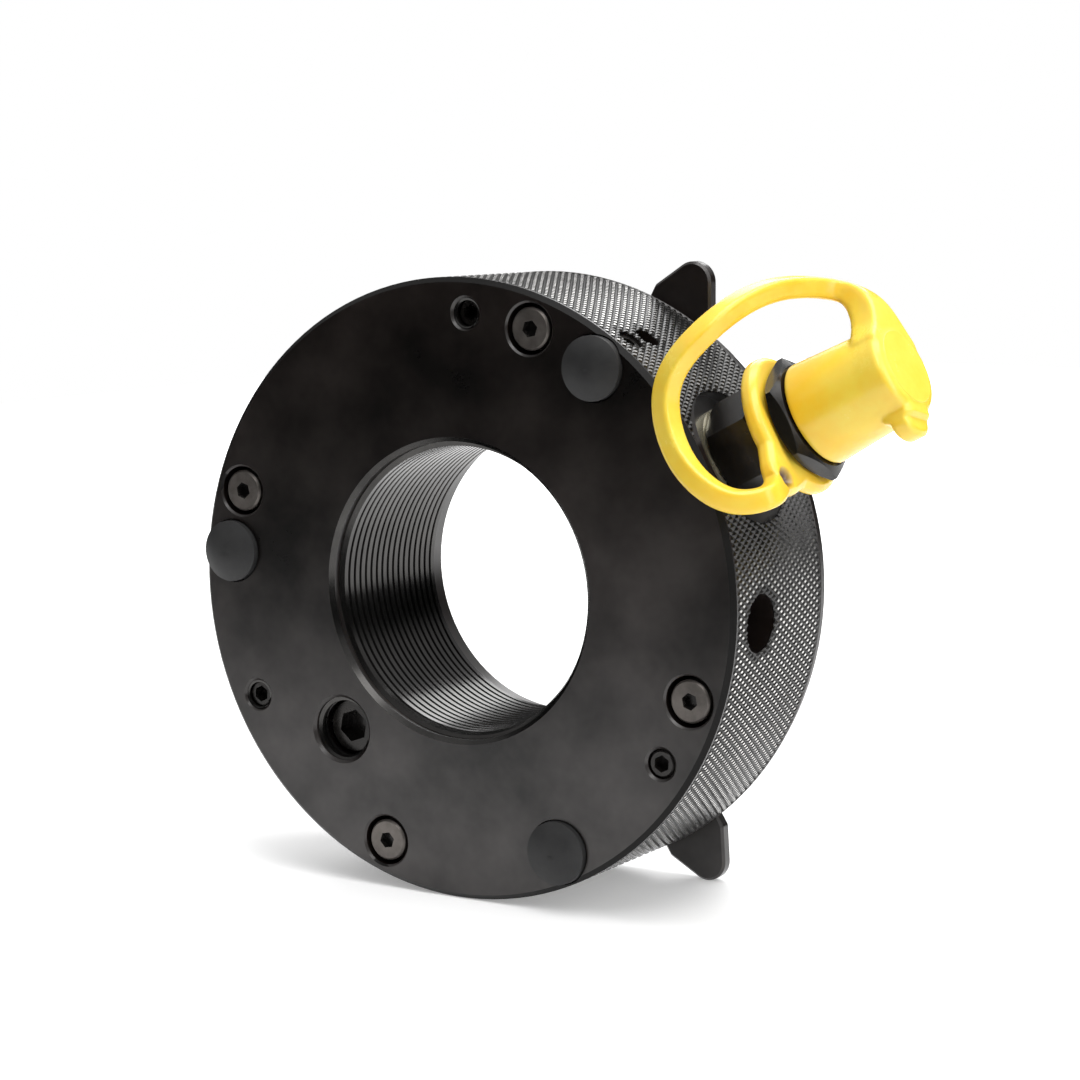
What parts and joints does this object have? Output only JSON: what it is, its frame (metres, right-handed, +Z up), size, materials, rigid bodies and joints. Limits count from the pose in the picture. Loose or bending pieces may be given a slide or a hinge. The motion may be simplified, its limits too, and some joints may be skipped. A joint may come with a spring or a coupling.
{
  "type": "hydraulic nut",
  "caption": "Hydraulic nut with a knurled threaded ring, an eared thrust plate on an annular piston, and a side oil coupling under a yellow tethered dust cap.",
  "frame": {"origin": "on the nut axis, halfway along the threaded body", "axes": "+Y along the nut axis towards the thrust plate, +Z up as the nut stands on its rim, +X right as seen from the front face"},
  "size_m": [0.1683, 0.0533, 0.1278],
  "materials": {
    "black_oxide": "black oxide, satin",
    "screw_black": "black oxide, darker in the sockets",
    "adapter_steel": "phosphated, satin",
    "bright_steel": "ground",
    "zinc_steel": "yellow zinc plate",
    "black_rubber": "matte",
    "seal_plastic": "natural PTFE",
    "yellow_plastic": "soft moulded, satin",
    "copper_washer": "soft copper"
  },
  "bodies": {
    "housing": {"nut_body": "black_oxide", "rubber_feet": "black_rubber", "face_set_screws": "screw_black", "side_set_screws": "screw_black", "port_plug": "screw_black", "plug_washer": "copper_washer", "port_washer": "zinc_steel", "washer_seal": "black_rubber", "port_adapter": "adapter_steel", "coupling_nipple": "screw_black", "nipple_seal": "black_rubber", "spring_retainer": "bright_steel", "return_springs": "bright_steel", "poppet_spring": "bright_steel"},
    "thrust_group": {"annular_piston": "bright_steel", "piston_outer_seal": "black_rubber", "piston_inner_seal": "black_rubber", "outer_backup_ring": "seal_plastic", "inner_backup_ring": "seal_plastic", "thrust_plate": "black_oxide", "return_screws": "screw_black"},
    "ring_body": {"cap_ring": "yellow_plastic", "cap_strap": "yellow_plastic"},
    "cap_body": {"dust_cap": "yellow_plastic"},
    "valve_body": {"valve_poppet": "bright_steel", "poppet_seal": "black_rubber"}
  },
  "joints": [
    {"name": "piston_stroke", "type": "slide", "parent": "housing", "child": "thrust_group", "axis": [0, 1, 0], "range_m": [0, 0.005], "stiffness_N_per_m": 20000, "springref_m": -0.005, "deforming": ["return_springs"]},
    {"name": "cap_swivel", "type": "hinge", "parent": "housing", "child": "ring_body", "pos_m": [0, -0.00175, 0], "axis": [0.8838, 0, 0.4679], "range_deg": [-20, 25]},
    {"name": "cap_pull", "type": "slide", "parent": "ring_body", "child": "cap_body", "axis": [0.8838, 0, 0.4679], "range_m": [0, 0.024], "deforming": ["cap_strap"]},
    {"name": "valve_open", "type": "slide", "parent": "housing", "child": "valve_body", "axis": [-0.8838, 0, -0.4679], "range_m": [0, 0.0015], "stiffness_N_per_m": 800, "springref_m": -0.002, "deforming": ["poppet_spring"]}
  ]
}
